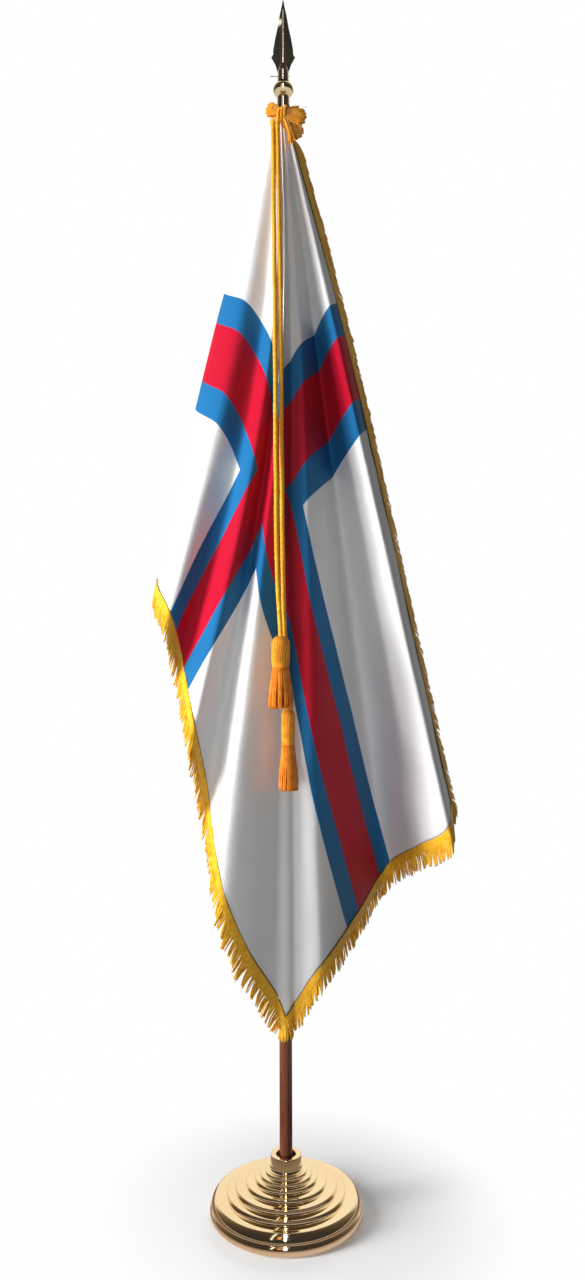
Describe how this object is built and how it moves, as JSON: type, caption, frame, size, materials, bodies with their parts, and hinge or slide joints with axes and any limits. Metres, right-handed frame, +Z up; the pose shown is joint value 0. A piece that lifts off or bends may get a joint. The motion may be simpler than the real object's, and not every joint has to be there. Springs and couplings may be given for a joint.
{
  "type": "indoor flag stand set",
  "caption": "Weighted round floor stand with a screw-jointed pole, spear finial, draped fringed flag, and a tied cord with tassels.",
  "frame": {"origin": "centre of the floor pad's underside, on the pole's axis", "axes": "+Z up along the pole, -Y towards the viewer of the draped front, +X to that viewer's right"},
  "size_m": [0.639, 0.3608, 2.4263],
  "materials": {
    "polished_brass": "polished and lacquered",
    "antique_brass": "polished, slightly aged",
    "ballast_iron": "rough cast",
    "zinc_steel": "zinc plated",
    "felt": "pressed felt",
    "reducer_plastic": "moulded",
    "stained_wood": "mahogany stain, satin varnish",
    "flag_nylon": "woven nylon, printed cross",
    "sleeve_canvas": "plain weave",
    "tab_leather": "smooth",
    "gold_fringe": "twisted rayon",
    "gold_cord": "twisted rayon",
    "tassel_thread": "rayon threads"
  },
  "bodies": {
    "stand": {"base_shell": "polished_brass", "ballast_weight": "ballast_iron", "base_cover": "zinc_steel", "floor_pad": "felt", "cover_screws": "zinc_steel", "pole_socket": "polished_brass", "socket_washer": "zinc_steel", "socket_locknut": "zinc_steel"},
    "reducer": {"socket_reducer": "reducer_plastic"},
    "lower_staff": {"lower_pole": "stained_wood", "lower_ferrule": "antique_brass"},
    "joint_screw": {"joint_stud": "antique_brass"},
    "upper_staff": {"upper_ferrule": "antique_brass", "upper_pole": "stained_wood", "top_ferrule": "antique_brass", "flag_cloth": "flag_nylon", "pole_sleeve": "sleeve_canvas", "hoist_tabs": "tab_leather", "tab_screws": "zinc_steel", "top_fringe": "gold_fringe", "fly_fringe": "gold_fringe", "bottom_fringe": "gold_fringe", "bow_knot": "gold_cord", "bow_loops": "gold_cord", "short_cord": "gold_cord", "long_cord": "gold_cord"},
    "finial_screw": {"finial_stud": "antique_brass"},
    "finial": {"finial_ball": "antique_brass", "finial_spear": "antique_brass", "finial_pin": "zinc_steel"},
    "short_tassel": {"short_tassel_head": "gold_cord", "short_tassel_skirt": "tassel_thread"},
    "long_tassel": {"long_tassel_head": "gold_cord", "long_tassel_skirt": "tassel_thread"}
  },
  "joints": [
    {"name": "pole_turn", "type": "hinge", "parent": "stand", "child": "reducer", "pos_m": [0, 0, 0], "axis": [0, 0, 1], "continuous": true},
    {"name": "pole_lift", "type": "slide", "parent": "reducer", "child": "lower_staff", "axis": [0, 0, 1], "range_m": [0, 0.09]},
    {"name": "joint_rise", "type": "slide", "parent": "lower_staff", "child": "joint_screw", "axis": [0, 0, 1], "range_m": [0, 0.0181]},
    {"name": "joint_turn", "type": "hinge", "parent": "joint_screw", "child": "upper_staff", "pos_m": [0, 0, 1.13], "axis": [0, 0, 1], "range_deg": [0, 2160]},
    {"name": "finial_rise", "type": "slide", "parent": "upper_staff", "child": "finial_screw", "axis": [0, 0, 1], "range_m": [0, 0.0121]},
    {"name": "finial_turn", "type": "hinge", "parent": "finial_screw", "child": "finial", "pos_m": [0, 0, 2.229], "axis": [0, 0, 1], "range_deg": [0, 2880]},
    {"name": "short_tassel_swing", "type": "hinge", "parent": "upper_staff", "child": "short_tassel", "pos_m": [-0.007, -0.088, 1.1385], "axis": [-1, 0, 0], "range_deg": [0, 25]},
    {"name": "long_tassel_swing", "type": "hinge", "parent": "upper_staff", "child": "long_tassel", "pos_m": [0.007, -0.058, 1.0005], "axis": [-1, 0, 0], "range_deg": [0, 25]}
  ],
  "couplings": [
    {"joint": "joint_rise", "follows": "joint_turn", "m_per_rad": 0.00047746},
    {"joint": "finial_rise", "follows": "finial_turn", "m_per_rad": 0.00023873}
  ]
}
